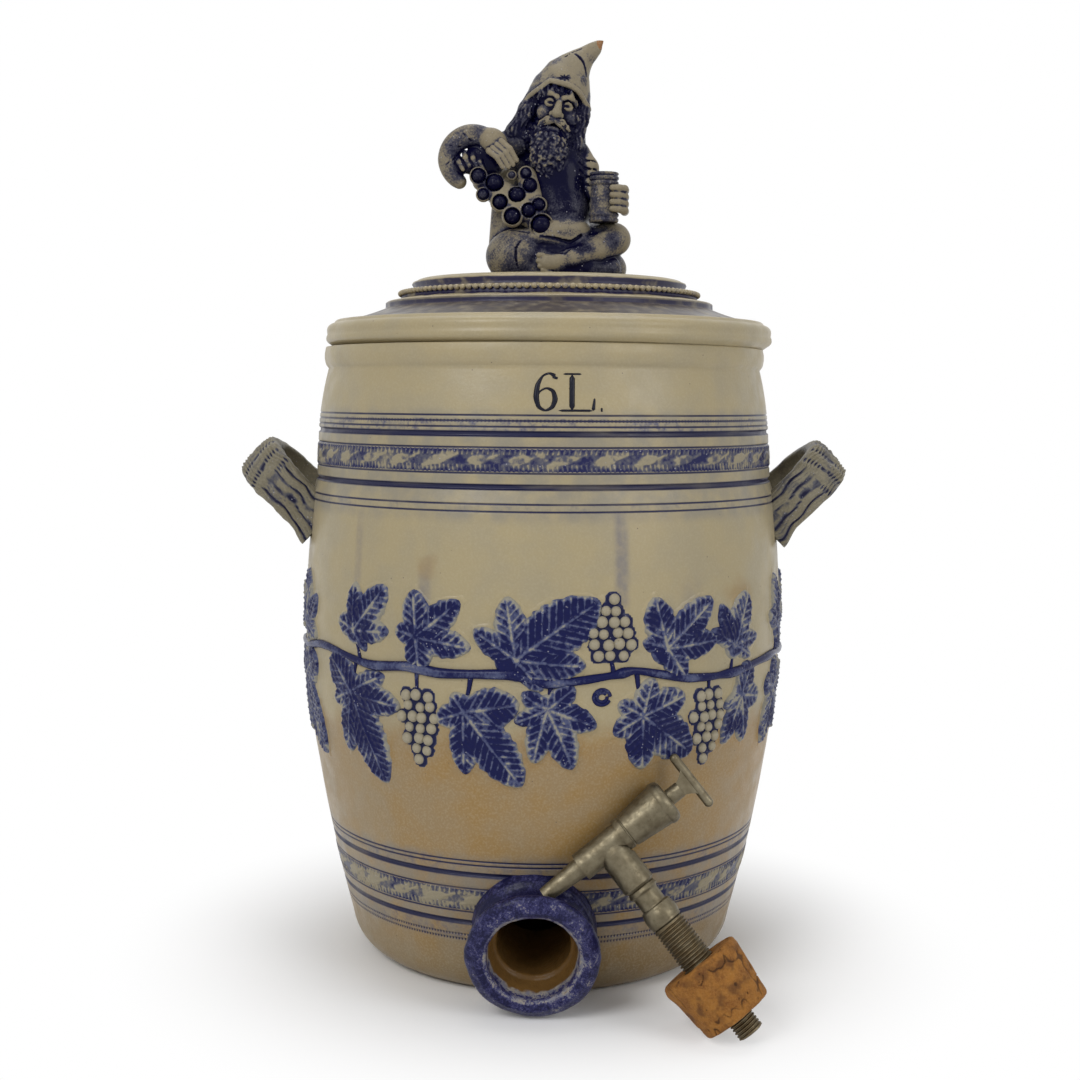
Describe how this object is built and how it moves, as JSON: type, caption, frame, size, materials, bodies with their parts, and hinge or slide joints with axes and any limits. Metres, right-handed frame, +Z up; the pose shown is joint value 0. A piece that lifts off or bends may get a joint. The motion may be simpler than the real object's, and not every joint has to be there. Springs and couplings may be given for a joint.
{
  "type": "stoneware drinks crock",
  "caption": "Barrel-shaped glazed stoneware drinks jar with a loose stepped lid, loop handles, a bung collar low on the front and a screw-down bung tap leaning against it.",
  "frame": {"origin": "centre of the jar's flat base, on the jar's axis, where it stands on the table", "axes": "+Z up along the jar's axis; -Y to the front, where the bung collar is; +X to the right of someone who faces the jar"},
  "size_m": [0.2732, 0.246, 0.4043],
  "materials": {
    "salt_glaze": "salt glaze, speckled, semi-gloss",
    "handle_glaze": "salt glaze with cobalt in the grooves",
    "lid_glaze": "salt glaze with cobalt bands",
    "cobalt_glaze": "mottled cobalt under salt glaze",
    "slip_glaze": "pale slip under salt glaze",
    "figure_glaze": "salt glaze with cobalt in the hollows",
    "nickelled_brass": "worn nickel plate",
    "packing_leather": "greased",
    "washer_rubber": "matte",
    "cork": "cork, pitted, matte"
  },
  "bodies": {
    "jar": {"jar_body": "salt_glaze", "left_handle": "handle_glaze", "right_handle": "handle_glaze", "bung_collar": "cobalt_glaze", "vine_stem": "slip_glaze", "vine_leaves": "cobalt_glaze", "grape_clusters": "slip_glaze"},
    "lid": {"lid": "lid_glaze", "finial_figure": "figure_glaze", "finial_arm": "figure_glaze", "finial_grapes": "cobalt_glaze", "finial_mug": "figure_glaze"},
    "tap": {"tap_body": "nickelled_brass", "tap_nozzle": "nickelled_brass", "tap_bonnet": "nickelled_brass", "gland_nut": "nickelled_brass", "gland_packing": "packing_leather", "tap_shank": "nickelled_brass", "cork_bung": "cork"},
    "key": {"key_spindle": "nickelled_brass", "key_handle": "nickelled_brass", "key_pin": "nickelled_brass"},
    "plunger": {"valve_plunger": "nickelled_brass", "valve_washer": "washer_rubber", "washer_screw": "nickelled_brass"}
  },
  "joints": [
    {"name": "lid_lift", "type": "slide", "parent": "jar", "child": "lid", "axis": [0, 0, 1], "range_m": [0, 0.15]},
    {"name": "tap_lift", "type": "slide", "parent": "jar", "child": "tap", "axis": [0, -0.6, 0.8], "range_m": [0, 0.12]},
    {"name": "key_turn", "type": "hinge", "parent": "tap", "child": "key", "pos_m": [0.02675, -0.1037, 0.07126], "axis": [0.7873, 0.114, 0.606], "range_deg": [0, 360]},
    {"name": "valve_travel", "type": "slide", "parent": "tap", "child": "plunger", "axis": [0.7873, 0.114, 0.606], "range_m": [0, 0.003]}
  ],
  "couplings": [
    {"joint": "valve_travel", "follows": "key_turn", "m_per_rad": 0.000477}
  ]
}
